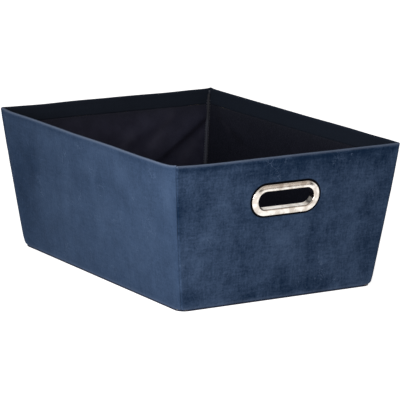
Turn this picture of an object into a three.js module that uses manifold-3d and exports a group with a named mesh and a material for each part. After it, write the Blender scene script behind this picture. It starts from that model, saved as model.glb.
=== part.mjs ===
// A tapered fabric storage bin. Four chipboard boards stand between a velvet cover and a
// non-woven liner, an oblong metal grommet makes a hand hole in the front wall, and a
// cloth-covered board lies loose on the base and lifts out.
// Millimetres, +Z up. The origin is the middle of the base, on the surface that the bin
// stands on. The long side runs along Y, and the front is the -Y wall.
import * as THREE from "three";
import { mergeVertices } from "three/addons/utils/BufferGeometryUtils.js";
import Module from "manifold-3d";

const wasm = await Module();
wasm.setup();

// Overall size, over the velvet.
const TOP_WIDTH = 291;
const TOP_LENGTH = 407;
const HEIGHT = 162;
const LEAN = THREE.MathUtils.degToRad(7.75); // each wall leans out by this much
const RIM_CORNER_RADIUS = 9.5;
const FOOT_CORNER_RADIUS = 3;
const LEAST_RADIUS = 1.2; // of an inner layer's corner
const ROUNDING_STARTS = 0.55; // of the height; above it a corner's radius grows to the rim's

// Thicknesses, from the outside in, and the gap that touching layers keep.
const COVER = 1.0;
const BOARD = 2.0;
const BOARD_SHORT_AT_RIM = 10; // the boards end this far short of the corners' rounding
const BOARD_SHORT_AT_FOOT = 4;
const LINER = 0.8;
const GAP = 0.3;
const SEAM = 0.4; // between neighbouring panels of one layer
const BASE_CLOTH = 0.8;
const FACING_HEIGHT = 18; // how far the velvet comes down inside the rim

// Binding tape over the raw seams inside.
const BINDING = 1.6;
const FOOT_BINDING_HEIGHT = 8;
const CORNER_BINDING_DEPTH = 5;

// The loose base insert.
const INSERT_CLEARANCE = 1.0; // to the foot binding, all round
const INSERT_CORNER_RADIUS = 10;
const INSERT_BOARD = 2.5;
const INSERT_CLOTH = 0.6;

// The hand hole's grommet. The opening has round ends.
const OPENING_LENGTH = 70;
const OPENING_HEIGHT = 20;
const HANDLE_BELOW_RIM = 48; // from the rim to the opening's middle, along the wall
const HANDLE_SHIFT = -2.4; // from the wall's middle, to the right as seen from outside
const FLANGE_WIDTH = 7.4;
const FLANGE_RISE = 1.7;
const LIP_WIDTH = 3;
const LIP_RISE = 2.6;
const BARREL = 0.9; // wall of the tube through the bin's wall
const BACKPLATE = 1.2;
const BACKPLATE_WIDTH = 5.4;
const ROLL_WIDTH = 2; // how far the barrel's rolled end reaches over the backplate
const ROLL = 0.8;

const ARC_STEPS = 3; // each quarter arc of an outline has twice this many segments
const RISE_STEPS = 4; // the corners' growing radius is made in this many steps
const PAST = 5; // how far a cutting tool runs past what it cuts

// Worked out from those.
const SPREAD = Math.tan(LEAN); // what a wall moves out for each millimetre up
const BOARD_OUT = COVER + GAP;
const BOARD_IN = BOARD_OUT + BOARD;
const LINER_OUT = BOARD_IN + GAP;
const LINER_IN = LINER_OUT + LINER;
const FACING_IN = LINER_OUT + COVER;
const BINDING_OUT = LINER_IN + GAP;
const BINDING_IN = BINDING_OUT + BINDING;
const FACING_FOOT = HEIGHT - FACING_HEIGHT;
const WALL_FOOT = BASE_CLOTH + GAP; // boards, liner and bindings start above the base cloth
const FOOT_WIDTH = TOP_WIDTH - 2 * SPREAD * HEIGHT;
const FOOT_LENGTH = TOP_LENGTH - 2 * SPREAD * HEIGHT;
const OPENING_RADIUS = OPENING_HEIGHT / 2;
const OPENING_HALF_STRAIGHT = OPENING_LENGTH / 2 - OPENING_RADIUS;
const HOLE_REACH = BARREL + GAP; // the wall's hole is this much larger than the opening
const HANDLE_UP = HEIGHT / Math.cos(LEAN) - HANDLE_BELOW_RIM;

const velvet = new THREE.MeshStandardMaterial({ color: 0x2f4566, roughness: 0.95, metalness: 0 });
const chipboard = new THREE.MeshStandardMaterial({ color: 0x8d7c64, roughness: 0.9, metalness: 0 });
const blackCloth = new THREE.MeshStandardMaterial({ color: 0x17161b, roughness: 0.9, metalness: 0 });
const tape = new THREE.MeshStandardMaterial({ color: 0x1d1c22, roughness: 0.85, metalness: 0 });
const nickel = new THREE.MeshStandardMaterial({ color: 0xd9d2c4, roughness: 0.18, metalness: 1 });

// ---- Geometry helpers ----

function mesh(name, geometry, material) {
  const made = new THREE.Mesh(geometry, material);
  made.name = name;
  return made;
}

// The corners of a closed outline, as 3-D points at one height.
function pointsOf(shape, z) {
  const points = shape.getPoints(ARC_STEPS);
  if (points[0].distanceTo(points.at(-1)) < 1e-6) points.pop();
  return points.map((p) => new THREE.Vector3(p.x, p.y, z));
}

function roundedRectangle(halfX, halfY, radius) {
  const [x, y] = [halfX - radius, halfY - radius];
  const quarter = Math.PI / 2;
  return new THREE.Shape()
    .absarc(x, y, radius, 0, quarter)
    .absarc(-x, y, radius, quarter, 2 * quarter)
    .absarc(-x, -y, radius, 2 * quarter, 3 * quarter)
    .absarc(x, -y, radius, 3 * quarter, 4 * quarter);
}

// An oblong with round ends, whose straight sides keep the opening's length.
function oblong(radius) {
  const quarter = Math.PI / 2;
  const x = OPENING_HALF_STRAIGHT;
  return new THREE.Shape()
    .absarc(x, 0, radius, -quarter, 0)
    .absarc(x, 0, radius, 0, quarter)
    .absarc(-x, 0, radius, quarter, 2 * quarter)
    .absarc(-x, 0, radius, 2 * quarter, 3 * quarter);
}

// A surface through rings of equally many points. It is capped by flat fans, or where
// endless is true its last ring joins its first.
function skin(rings, endless = false) {
  const count = rings[0].length;
  const index = [];
  const bands = endless ? rings.length : rings.length - 1;
  for (let band = 0; band < bands; band++) {
    const low = band * count;
    const high = ((band + 1) % rings.length) * count;
    for (let i = 0; i < count; i++) {
      const j = (i + 1) % count;
      index.push(low + i, low + j, high + j, low + i, high + j, high + i);
    }
  }
  if (!endless) {
    const top = (rings.length - 1) * count;
    for (let i = 1; i < count - 1; i++) {
      index.push(0, i + 1, i);
      index.push(top, top + i, top + i + 1);
    }
  }
  return new THREE.BufferGeometry().setFromPoints(rings.flat()).setIndex(index);
}

function solid(geometry) {
  const bare = geometry.clone();
  bare.deleteAttribute("normal");
  bare.deleteAttribute("uv");
  const merged = mergeVertices(bare, 1e-4);
  return new wasm.Manifold(
    new wasm.Mesh({
      numProp: 3,
      vertProperties: new Float32Array(merged.attributes.position.array),
      triVerts: new Uint32Array(merged.index.array),
    }),
  );
}

function geometryOf(manifold) {
  const { vertProperties, triVerts } = manifold.getMesh();
  return new THREE.BufferGeometry()
    .setAttribute("position", new THREE.BufferAttribute(vertProperties, 3))
    .setIndex(new THREE.BufferAttribute(triVerts, 1));
}

// ---- The bin's own shapes ----

const halfWidthAt = (z) => FOOT_WIDTH / 2 + SPREAD * z;
const halfLengthAt = (z) => FOOT_LENGTH / 2 + SPREAD * z;
function cornerRadiusAt(z) {
  const risen = (z / HEIGHT - ROUNDING_STARTS) / (1 - ROUNDING_STARTS);
  const share = THREE.MathUtils.clamp(risen, 0, 1) ** 2;
  return THREE.MathUtils.lerp(FOOT_CORNER_RADIUS, RIM_CORNER_RADIUS, share);
}
const across = (depth) => depth / Math.cos(LEAN); // a wall depth, measured level

// The rounded section of the bin at a height, that depth inside the velvet's face.
function section(depth, z) {
  const inset = across(depth);
  const radius = Math.max(cornerRadiusAt(z) - inset, LEAST_RADIUS);
  return pointsOf(roundedRectangle(halfWidthAt(z) - inset, halfLengthAt(z) - inset, radius), z);
}

// All that lies deeper than depth between two heights.
function core(depth, low, high) {
  const start = HEIGHT * ROUNDING_STARTS;
  const heights = [low, high];
  for (let step = 0; step < RISE_STEPS; step++) {
    heights.push(THREE.MathUtils.lerp(start, HEIGHT, step / RISE_STEPS));
  }
  const between = heights.filter((z) => z >= low && z <= high).sort((a, b) => a - b);
  return solid(skin(between.map((z) => section(depth, z))));
}

// The part of the plan that belongs to one wall: mitred along the lines from the corners.
function wallRegion(plan) {
  const outline = new THREE.Shape(plan.map(([x, y]) => new THREE.Vector2(x, y)));
  const prism = new THREE.ExtrudeGeometry(outline, { depth: HEIGHT + 2 * PAST, bevelEnabled: false });
  return solid(prism.translate(0, 0, -PAST));
}

const MITRE = (TOP_LENGTH - TOP_WIDTH) / 2; // where the mitre lines meet, on the Y axis
const FAR = TOP_LENGTH;
const HALF_SEAM = SEAM / Math.SQRT2; // along an axis, for half a seam across a mitre
const frontRegion = wallRegion([
  [0, -MITRE - HALF_SEAM],
  [-FAR, -MITRE - HALF_SEAM - FAR],
  [FAR, -MITRE - HALF_SEAM - FAR],
]);
const leftRegion = wallRegion([
  [-HALF_SEAM, -MITRE],
  [-HALF_SEAM, MITRE],
  [-HALF_SEAM - FAR, MITRE + FAR],
  [-HALF_SEAM - FAR, -MITRE - FAR],
]);

// A frame on one wall: x along it, y up its slope and z out of it, from the foot's middle.
function wallFrame(turn, footReach) {
  const wall = new THREE.Group();
  wall.position.y = -footReach;
  wall.rotation.x = Math.PI / 2 + LEAN;
  const turned = new THREE.Group();
  turned.rotation.z = turn;
  turned.add(wall);
  return { turned, wall };
}

function handHoleTool() {
  const { turned, wall } = wallFrame(0, FOOT_LENGTH / 2);
  turned.updateMatrixWorld(true);
  const depth = BINDING_IN + 2 * PAST;
  const hole = oblong(OPENING_RADIUS + HOLE_REACH);
  const options = { depth, curveSegments: 2 * ARC_STEPS, bevelEnabled: false };
  const prism = new THREE.ExtrudeGeometry(hole, options);
  prism.translate(HANDLE_SHIFT, HANDLE_UP, PAST - depth);
  return solid(prism.applyMatrix4(wall.matrixWorld));
}

const handHole = handHoleTool();

// The velvet, turned over the rim and down inside it, with a pocket for the boards.
function coverShell() {
  const pocket = core(COVER, -PAST, HEIGHT - COVER).subtract(core(LINER_OUT, FACING_FOOT, HEIGHT));
  return core(0, 0, HEIGHT).subtract(pocket).subtract(core(FACING_IN, -PAST, HEIGHT + PAST));
}

function linerShell() {
  const top = FACING_FOOT - SEAM;
  return core(LINER_OUT, WALL_FOOT, top).subtract(core(LINER_IN, WALL_FOOT - PAST, top + PAST));
}

// A wall's board, in the wall's frame, with its outer face at z = 0.
function boardGeometry(topHalf, footHalf, hasHandHole) {
  const level = (z, depth) => (z - depth * Math.sin(LEAN)) / Math.cos(LEAN);
  const low = level(WALL_FOOT, BOARD_OUT);
  const high = level(HEIGHT - COVER - GAP, BOARD_IN);
  const topX = topHalf - across(RIM_CORNER_RADIUS) - BOARD_SHORT_AT_RIM;
  const footX = footHalf - across(FOOT_CORNER_RADIUS) - BOARD_SHORT_AT_FOOT;
  const outline = new THREE.Shape()
    .moveTo(-footX, low)
    .lineTo(footX, low)
    .lineTo(topX, high)
    .lineTo(-topX, high)
    .closePath();
  if (hasHandHole) {
    const hole = oblong(OPENING_RADIUS + HOLE_REACH).getPoints(ARC_STEPS * 2);
    const middle = new THREE.Vector2(HANDLE_SHIFT, HANDLE_UP);
    outline.holes.push(new THREE.Path(hole.map((p) => p.add(middle))));
  }
  return new THREE.ExtrudeGeometry(outline, { depth: BOARD, bevelEnabled: false });
}

// A ring round the hand hole. Its section's points say how far out from the opening's
// wall they lie, and how far out of the bin's face.
function oblongRing(sectionPoints) {
  return skin(
    sectionPoints.map(([reach, rise]) => pointsOf(oblong(OPENING_RADIUS + reach), rise)),
    true,
  );
}

// The grommet: a flange with a raised lip outside, a barrel through the wall, and its
// end rolled over the backplate inside.
function grommetGeometry() {
  const flangeFoot = GAP;
  const rollFront = -(LINER_IN + GAP + BACKPLATE + GAP);
  const rollBack = rollFront - ROLL;
  const rollReach = BARREL + ROLL_WIDTH;
  return oblongRing([
    [0, rollBack + ROLL / 2],
    [ROLL / 2, rollBack],
    [rollReach - ROLL / 2, rollBack],
    [rollReach, rollBack + ROLL / 2],
    [rollReach - ROLL / 2, rollFront],
    [BARREL, rollFront],
    [BARREL, flangeFoot],
    [FLANGE_WIDTH, flangeFoot],
    [FLANGE_WIDTH - 0.2, flangeFoot + FLANGE_RISE / 3],
    [FLANGE_WIDTH - 1.2, FLANGE_RISE * 0.85],
    [LIP_WIDTH + 1, FLANGE_RISE],
    [LIP_WIDTH, FLANGE_RISE],
    [LIP_WIDTH * 0.85, LIP_RISE * 0.92],
    [LIP_WIDTH * 0.5, LIP_RISE],
    [LIP_WIDTH * 0.15, LIP_RISE * 0.85],
    [0, LIP_RISE * 0.5],
  ]);
}

function backplateGeometry() {
  const front = -(LINER_IN + GAP);
  const back = front - BACKPLATE;
  const inner = BARREL + GAP;
  const outer = inner + BACKPLATE_WIDTH;
  const bevel = BACKPLATE / 3;
  return oblongRing([
    [inner, back],
    [outer - 2 * bevel, back],
    [outer, back + 2 * bevel],
    [outer, front],
    [inner, front],
  ]);
}

// The bound seam allowance that stands in one inside corner, pointing at the middle.
function cornerBindingGeometry(sideX, sideY) {
  const low = WALL_FOOT + FOOT_BINDING_HEIGHT + SEAM;
  const high = FACING_FOOT - 2 * SEAM;
  const inward = new THREE.Vector2(-sideX, -sideY).normalize();
  const along = new THREE.Vector2(-inward.y, inward.x);
  const ring = (z) => {
    const inset = across(LINER_IN);
    const corner = new THREE.Vector2(sideX * (halfWidthAt(z) - inset), sideY * (halfLengthAt(z) - inset));
    const radius = Math.max(cornerRadiusAt(z) - inset, LEAST_RADIUS);
    const start = radius * (Math.SQRT2 - 1) + BINDING / 2 + GAP;
    const end = start + CORNER_BINDING_DEPTH;
    const half = BINDING / 2;
    return [[start, -half], [end, -half], [end, half], [start, half]].map(([reach, side]) => {
      const p = corner.clone().addScaledVector(inward, reach).addScaledVector(along, side);
      return new THREE.Vector3(p.x, p.y, z);
    });
  };
  return skin([ring(low), ring(high)]);
}

// A plate with the insert's outline, shrunk by inset, between two heights.
function insertPlate(inset, low, high) {
  const reach = across(BINDING_IN) + INSERT_CLEARANCE + inset;
  const radius = INSERT_CORNER_RADIUS - inset;
  const outline = roundedRectangle(FOOT_WIDTH / 2 - reach, FOOT_LENGTH / 2 - reach, radius);
  return skin([pointsOf(outline, low), pointsOf(outline, high)]);
}

// ---- Assembly ----

const bin = new THREE.Group();

function handHoleFitting() {
  const fitting = new THREE.Group();
  fitting.position.set(HANDLE_SHIFT, HANDLE_UP, 0);
  fitting.add(
    mesh("front_grommet", grommetGeometry(), nickel),
    mesh("front_grommet_backplate", backplateGeometry(), nickel),
  );
  return fitting;
}

function addShortWalls() {
  const cover = coverShell().intersect(frontRegion);
  const liner = linerShell().intersect(frontRegion);
  for (const [side, turn, hasHandHole] of [["front", 0, true], ["back", Math.PI, false]]) {
    const panel = (layer) => geometryOf(hasHandHole ? layer.subtract(handHole) : layer);
    const { turned, wall } = wallFrame(turn, FOOT_LENGTH / 2);
    turned.add(mesh(`${side}_cover`, panel(cover), velvet), mesh(`${side}_liner`, panel(liner), blackCloth));
    const board = boardGeometry(TOP_WIDTH / 2, FOOT_WIDTH / 2, hasHandHole);
    const stiffener = mesh(`${side}_board`, board, chipboard);
    stiffener.position.z = -BOARD_IN;
    wall.add(stiffener);
    if (hasHandHole) wall.add(handHoleFitting());
    bin.add(turned);
  }
}

function addLongWalls() {
  const cover = geometryOf(coverShell().intersect(leftRegion));
  const liner = geometryOf(linerShell().intersect(leftRegion));
  const board = boardGeometry(TOP_LENGTH / 2, FOOT_LENGTH / 2, false);
  for (const [side, turn] of [["left", 0], ["right", Math.PI]]) {
    const panels = new THREE.Group();
    panels.rotation.z = turn;
    panels.add(mesh(`${side}_cover`, cover, velvet), mesh(`${side}_liner`, liner, blackCloth));
    const { turned, wall } = wallFrame(turn - Math.PI / 2, FOOT_WIDTH / 2);
    const stiffener = mesh(`${side}_board`, board, chipboard);
    stiffener.position.z = -BOARD_IN;
    wall.add(stiffener);
    bin.add(panels, turned);
  }
}

function addBaseAndBindings() {
  const cloth = skin([section(BOARD_OUT, 0), section(BOARD_OUT, BASE_CLOTH)]);
  bin.add(mesh("base_cloth", cloth, blackCloth));
  const top = WALL_FOOT + FOOT_BINDING_HEIGHT;
  const inside = core(BINDING_IN, WALL_FOOT - PAST, top + PAST);
  const footBinding = core(BINDING_OUT, WALL_FOOT, top).subtract(inside);
  bin.add(mesh("foot_seam_binding", geometryOf(footBinding), tape));
  for (const [name, sideX, sideY] of [
    ["front_left", -1, -1],
    ["front_right", 1, -1],
    ["back_right", 1, 1],
    ["back_left", -1, 1],
  ]) {
    bin.add(mesh(`${name}_corner_binding`, cornerBindingGeometry(sideX, sideY), tape));
  }
}

function addBaseInsert() {
  const clothLow = BASE_CLOTH + GAP;
  const boardLow = clothLow + INSERT_CLOTH + GAP;
  const boardHigh = boardLow + INSERT_BOARD;
  const top = boardHigh + GAP + INSERT_CLOTH;
  const boardInset = INSERT_CLOTH + GAP;
  const hollow = solid(insertPlate(INSERT_CLOTH, boardLow - PAST, top - INSERT_CLOTH));
  const topCloth = solid(insertPlate(0, boardLow, top)).subtract(hollow);
  bin.add(
    mesh("insert_bottom_cloth", insertPlate(0, clothLow, clothLow + INSERT_CLOTH), blackCloth),
    mesh("insert_board", insertPlate(boardInset, boardLow, boardHigh), chipboard),
    mesh("insert_top_cloth", geometryOf(topCloth), blackCloth),
  );
}

addShortWalls();
addLongWalls();
addBaseAndBindings();
addBaseInsert();

export default bin;
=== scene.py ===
"""A tapered storage bin: walls of velvet, chipboard and non-woven liner, an oblong metal hand
hole, and a base insert that lifts out. Metres, +Z up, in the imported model's own frame."""
import math

import bpy
import numpy as np
from mathutils import Matrix, Vector, noise


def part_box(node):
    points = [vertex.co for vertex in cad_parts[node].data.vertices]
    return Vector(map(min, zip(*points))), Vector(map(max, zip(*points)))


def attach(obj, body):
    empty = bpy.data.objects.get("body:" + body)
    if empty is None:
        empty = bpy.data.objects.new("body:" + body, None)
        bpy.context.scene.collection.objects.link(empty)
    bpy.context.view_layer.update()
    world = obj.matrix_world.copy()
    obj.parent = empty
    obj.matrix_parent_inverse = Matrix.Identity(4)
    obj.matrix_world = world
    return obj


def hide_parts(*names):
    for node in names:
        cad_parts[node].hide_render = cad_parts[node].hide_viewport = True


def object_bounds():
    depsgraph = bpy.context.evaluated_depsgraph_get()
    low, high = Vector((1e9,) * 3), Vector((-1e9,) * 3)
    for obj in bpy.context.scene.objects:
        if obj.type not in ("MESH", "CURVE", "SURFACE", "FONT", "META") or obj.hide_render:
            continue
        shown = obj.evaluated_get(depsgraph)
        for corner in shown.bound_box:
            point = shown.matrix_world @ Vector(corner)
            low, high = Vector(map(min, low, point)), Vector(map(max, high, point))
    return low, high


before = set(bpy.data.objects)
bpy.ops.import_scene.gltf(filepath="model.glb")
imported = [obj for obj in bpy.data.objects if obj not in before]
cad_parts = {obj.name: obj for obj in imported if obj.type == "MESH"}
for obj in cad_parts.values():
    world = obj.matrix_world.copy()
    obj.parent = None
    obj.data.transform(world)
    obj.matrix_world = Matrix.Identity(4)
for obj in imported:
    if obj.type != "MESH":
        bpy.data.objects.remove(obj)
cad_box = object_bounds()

MM = 0.001

# ---- Sizes, from the frame and from how the bin is layered ----

HEIGHT = cad_box[1].z
TOP_X, TOP_Y = cad_box[1].x, cad_box[1].y


def foot_reach(node, axis):
    """How far a wall's outer face stands from the middle at the foot."""
    on_floor = [v.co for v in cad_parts[node].data.vertices if v.co.z < 0.1 * MM]
    return max(abs(co[axis]) for co in on_floor)


FOOT_X = foot_reach("left_cover", 0)
FOOT_Y = foot_reach("front_cover", 1)
SPREAD = (TOP_X - FOOT_X) / HEIGHT
LEAN = math.atan(SPREAD)

COVER = 1.0 * MM
BOARD_OUT = 1.3 * MM
LINER_OUT = 3.6 * MM
LINER = 0.8 * MM
LINER_IN = LINER_OUT + LINER
FACING_IN = 4.6 * MM
BINDING_OUT = 4.7 * MM
BINDING_IN = 6.3 * MM
FACING_HEIGHT = 18 * MM
FACING_FOOT = HEIGHT - FACING_HEIGHT
TUCK = 0.04 * MM  # between the facing's edge and the liner sewn to it
WALL_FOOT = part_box("front_liner")[0].z

FOOT_ROLL = 1.6 * MM  # radius of the cover's fold at the foot
FOOT_EDGE = 0.9 * MM  # the base cloth's black edge shows this high under the velvet
RIM_ROLL = FACING_IN / 2
CREST_DEPTH = 1.3 * MM  # where a highlight is painted along the rim's crest
CREST_WIDTH = 0.9 * MM

# The long walls bend in over a band before each corner, to a nearly sharp seam.
BAND_AT_FOOT = 7 * MM
BAND_AT_RIM = 27 * MM
INSET_AT_FOOT = 1.0 * MM
INSET_AT_RIM = 3.0 * MM
BAND_GROWTH = 3.4
CORNER_PULL = {(1, 1): 0.05}  # the share of the inset that a corner (x way, y way) has, if not all
BEND_SOFTNESS = 0.16
CORNER_RADIUS = 3.2 * MM
LEAST_RADIUS = 0.7 * MM
SEAM_GAP = 0.12 * MM
SEAM_GROOVE = 0.55 * MM
SEAM_GROOVE_WIDTH = 1.3 * MM

# How the rim rises at the corners, in mm: (rise, how far along the rim it fades), for each end
# of each wall. An end is named by the way that it points along the wall.
RIM_PEAKS = {
    "front": {-1: (1.5, 15), 1: (0.5, 10)},
    "right": {-1: (0.7, 8), 1: (1.9, 4.5)},
    "back": {-1: (1.7, 4.5), 1: (1.3, 7)},
    "left": {-1: (1.5, 7), 1: (2.9, 8)},
}
# How far the foot's edge is pulled up at each end of each wall, in mm, over a short reach.
FOOT_LIFTS = {
    "front": {-1: 0.5, 1: 2.5},
    "right": {-1: 2.5, 1: 1.8},
    "back": {-1: 1.8, 1: 2.9},
    "left": {-1: 2.9, 1: 0.5},
}
FOOT_LIFT_REACH = 3.5 * MM
FOOT_CORNER_ROUND = 5.5 * MM  # the foot's corners are rounded off below this height
FOOT_CORNER_REACH = 7 * MM
FOOT_LIFT_HEIGHT = 12 * MM
RIM_PEAK_DEPTH = 40 * MM
RIM_WAVE = 0.35 * MM

# How dark the painted shadow line under each wall's rim is, and how mottled each wall's pile is.
RIM_SHADE = {"front": 1.5, "right": 0.8, "back": 0.8, "left": 0.5}
CRUSH = {"front": 1.15, "right": 0.6, "back": 0.9, "left": 0.55}

# Where the pile is brushed paler or darker, and where shade and highlights are painted, such as
# the dark bands at the walls' outer ends: place along the wall and height, in mm, how far that
# reaches each way, and how much paler it is.
BRUSHED_AND_SHADED = {
    "front": [
        (-94, 74, 19, 42, 1.0), (-61, 155, 20, 6, 0.7), (-33, 146, 42, 10, -0.9), (-62, 55, 9, 40, -0.7),
        (0, 64, 24, 26, 0.6), (38, 53, 10, 34, -0.7), (84, 52, 20, 32, 0.8), (90, 127, 18, 16, 0.8),
        (116, 100, 12, 30, -0.5), (-112, 12, 14, 12, -1.2), (10, 12, 62, 11, -0.8), (-58, 95, 13, 13, -0.8),
        (-85, 132, 18, 13, 0.6), (10, 151, 44, 7, -0.6), (55, 117, 14, 24, 0.3), (-137, 90, 6, 60, -1.6),
        (70, 150, 90, 16, -0.9), (112, 148, 26, 14, -0.7), (104, 40, 34, 30, -1.1), (30, 75, 60, 60, -0.3),
        (144, 80, 4, 150, -2.0),
    ],
    "left": [
        (86, 136, 20, 15, 0.9), (8, 128, 20, 13, 0.6), (32, 116, 20, 11, -0.7), (182, 130, 11, 26, 1.1),
        (-46, 99, 20, 8, 0.5), (-72, 70, 60, 20, 0.3), (-176, 75, 26, 60, -0.9), (53, 154, 22, 7, 0.5),
        (-76, 140, 26, 14, 0.5), (-132, 102, 22, 26, -0.7), (110, 60, 60, 40, 0.4), (20, 80, 50, 16, 0.2),
        (-150, 90, 50, 90, -0.6), (-199, 80, 6, 150, -2.0),
    ],
}

TURNS = {"front": 0, "right": 90, "back": 180, "left": -90}
LONG = ("left", "right")

# The hand hole, in the front wall's frame.
GROMMET_LOW, GROMMET_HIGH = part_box("front_grommet")
HANDLE_SHIFT = (GROMMET_LOW.x + GROMMET_HIGH.x) / 2
OPENING_LENGTH = 70 * MM
OPENING_HEIGHT = 20 * MM
OPENING_RADIUS = OPENING_HEIGHT / 2
OPENING_STRAIGHT = OPENING_LENGTH - OPENING_HEIGHT
HANDLE_BELOW_RIM = 48 * MM
HANDLE_UP = HEIGHT / math.cos(LEAN) - HANDLE_BELOW_RIM
FLANGE_WIDTH = 7.4 * MM
HOLE_REACH = 1.2 * MM  # how much wider than the opening the hole in the cloth is
CREASE_BELOW_RIM = 55 * MM


# ---- Small helpers ----

def smooth(value):
    """A smooth step from 0 to 1."""
    t = np.clip(value, 0, 1)
    return t * t * (3 - 2 * t)


def lerp(a, b, share):
    return a + (b - a) * share


def field(points, size, seed):
    """Smooth random values from about -1 to 1, with features of that size."""
    flat = np.asarray(points, float).reshape(-1, 3) / size + seed * 17.31
    values = np.array([noise.noise(Vector(p)) for p in flat])
    return values.reshape(np.shape(points)[:-1]) * 1.6


def link(obj):
    bpy.context.scene.collection.objects.link(obj)
    return obj


def enclosed_volume(points, faces):
    """The volume inside a closed mesh, below zero if its faces point inwards."""
    points = np.asarray(points, float)
    triangles = np.array([(f[0], f[i], f[i + 1]) for f in faces for i in range(1, len(f) - 1)])
    a, b, c = (points[triangles[:, k]] for k in range(3))
    return np.einsum("ij,ij->i", a, np.cross(b, c)).sum() / 6


def make_object(name, points, faces, material, attributes=None):
    mesh = bpy.data.meshes.new(name)
    mesh.from_pydata([tuple(p) for p in points], [], faces)
    mesh.polygons.foreach_set("use_smooth", [True] * len(mesh.polygons))
    for key, values in (attributes or {}).items():
        layer = mesh.attributes.new(key, "FLOAT", "POINT")
        layer.data.foreach_set("value", np.asarray(values, np.float32))
    mesh.materials.append(material)
    if enclosed_volume(points, faces) < 0:
        mesh.flip_normals()
    mesh.update()
    return link(bpy.data.objects.new(name, mesh))


def grid_faces(rows, columns, start=0, flip=False, around=False):
    faces = []
    for i in range(rows - 1):
        for j in range(columns if around else columns - 1):
            k = (j + 1) % columns
            quad = [i * columns + j, i * columns + k, (i + 1) * columns + k, (i + 1) * columns + j]
            quad = [start + q for q in quad]
            faces.append(quad[::-1] if flip else quad)
    return faces


def grid_normals(grid):
    """Unit normals of a grid whose rows and columns turn anticlockwise, seen from outside."""
    normal = np.cross(np.gradient(grid, axis=1), np.gradient(grid, axis=0))
    return normal / np.maximum(np.linalg.norm(normal, axis=2, keepdims=True), 1e-12)


def shell(name, outer, inner, material, attributes=None, around=False, capped=False):
    """A closed sheet between two grids of the same size. The last rows are joined along their
    edges or, where they are small rings, capped with one face each."""
    rows, columns = outer.shape[:2]
    count = rows * columns
    top = count - columns
    faces = grid_faces(rows, columns, around=around)
    faces += grid_faces(rows, columns, count, True, around)
    for j in range(columns if around else columns - 1):
        k = (j + 1) % columns
        faces.append([k, j, count + j, count + k])
        if not capped:
            faces.append([top + j, top + k, count + top + k, count + top + j])
    if capped:
        faces.append([top + j for j in range(columns)])
        faces.append([count + top + j for j in range(columns)][::-1])
    for a in range(0, 0 if around else top, columns):
        b = a + columns
        faces.append([a, b, count + b, count + a])
        a, b = a + columns - 1, b + columns - 1
        faces.append([b, a, count + a, count + b])
    points = np.concatenate([outer.reshape(-1, 3), inner.reshape(-1, 3)])
    both = {key: np.tile(np.ravel(values), 2) for key, values in (attributes or {}).items()}
    return make_object(name, points, faces, material, both)


# ---- The bin's section ----

def grown(at_foot, at_rim, z):
    """A value that grows from the foot to the rim, mostly near the rim."""
    return lerp(at_foot, at_rim, np.clip(z / HEIGHT, 0, 1) ** BAND_GROWTH)


def band_inset(z):
    return grown(INSET_AT_FOOT, INSET_AT_RIM, z)


def bend(distance, z):
    """How far in a long wall stands, that far from its corner."""
    y = 1 - distance / grown(BAND_AT_FOOT, BAND_AT_RIM, z)
    k = BEND_SOFTNESS
    rising = (y + np.sqrt(y * y + k * k)) / 2
    return band_inset(z) * rising / ((1 + math.sqrt(1 + k * k)) / 2)


def panel_columns(flat_count, round_count):
    """Column places from -1 to 1: (share along the flat, turn through the corner's rounding)."""
    flat = 1 - (1 - np.linspace(0, 1, flat_count)) ** 1.35
    half = [(s, 0.0) for s in flat]
    half += [(1.0, t) for t in np.linspace(0, 0.5, round_count + 1)[1:]]
    return [(-s, t) for s, t in half[:0:-1]] + half


def curve(a, b, c, t):
    """A point on the parabola from a to c whose tangents meet in b."""
    return (1 - t) ** 2 * a + 2 * t * (1 - t) * b + t * t * c


def inside_corner(side_x, side_y, z, level_depth):
    """The point at a height where two walls' inner faces meet."""
    inset = band_inset(z) * CORNER_PULL.get((side_x, side_y), 1.0)
    return np.array([side_x * (FOOT_X + SPREAD * z - level_depth - inset),
                     side_y * (FOOT_Y + SPREAD * z - level_depth), z])


def corner_pull(side, share):
    """How much of the inset the nearest corner of a wall has."""
    along, out = wall_axes(side)
    way = out + along * (-1 if share < 0 else 1)
    return CORNER_PULL.get((round(way[0]), round(way[1])), 1.0)


def panel_point(side, share, turn, z, level_depth):
    """(along the wall, out of the middle) of one panel's point at a height and level depth."""
    pull = corner_pull(side, share)
    half_x = FOOT_X + SPREAD * z - level_depth
    half_y = FOOT_Y + SPREAD * z - level_depth
    inset = band_inset(z) * pull
    radius = np.maximum(CORNER_RADIUS - level_depth, LEAST_RADIUS)
    reach = radius * 1.17
    corner = (half_x - inset, half_y)
    on_short = (half_x - inset - reach, half_y)
    on_long = (half_x - bend(reach, z) * pull, half_y - reach)
    way = -1 if share < 0 else 1
    size = abs(share)
    if turn > 0:
        t = 1 - turn if side in LONG else turn
        x = curve(on_short[0], corner[0], on_long[0], t)
        y = curve(on_short[1], corner[1], on_long[1], t)
        return (way * y, x) if side in LONG else (way * x, y)
    if side in LONG:
        along = size * (half_y - reach)
        return way * along, half_x - bend(half_y - along, z) * pull
    return way * size * on_short[0], half_y + 0 * z


def half_width(side, half_x, half_y):
    return half_y if side in LONG else half_x


def along_bin(side, grid):
    """The coordinate of a grid's points that runs along a wall."""
    return grid[..., 1 if side in LONG else 0]


def wall_axes(side):
    turn = math.radians(TURNS[side])
    along = np.array([math.cos(turn), math.sin(turn), 0])
    out = np.array([math.sin(turn), -math.cos(turn), 0])
    return along, out


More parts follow.
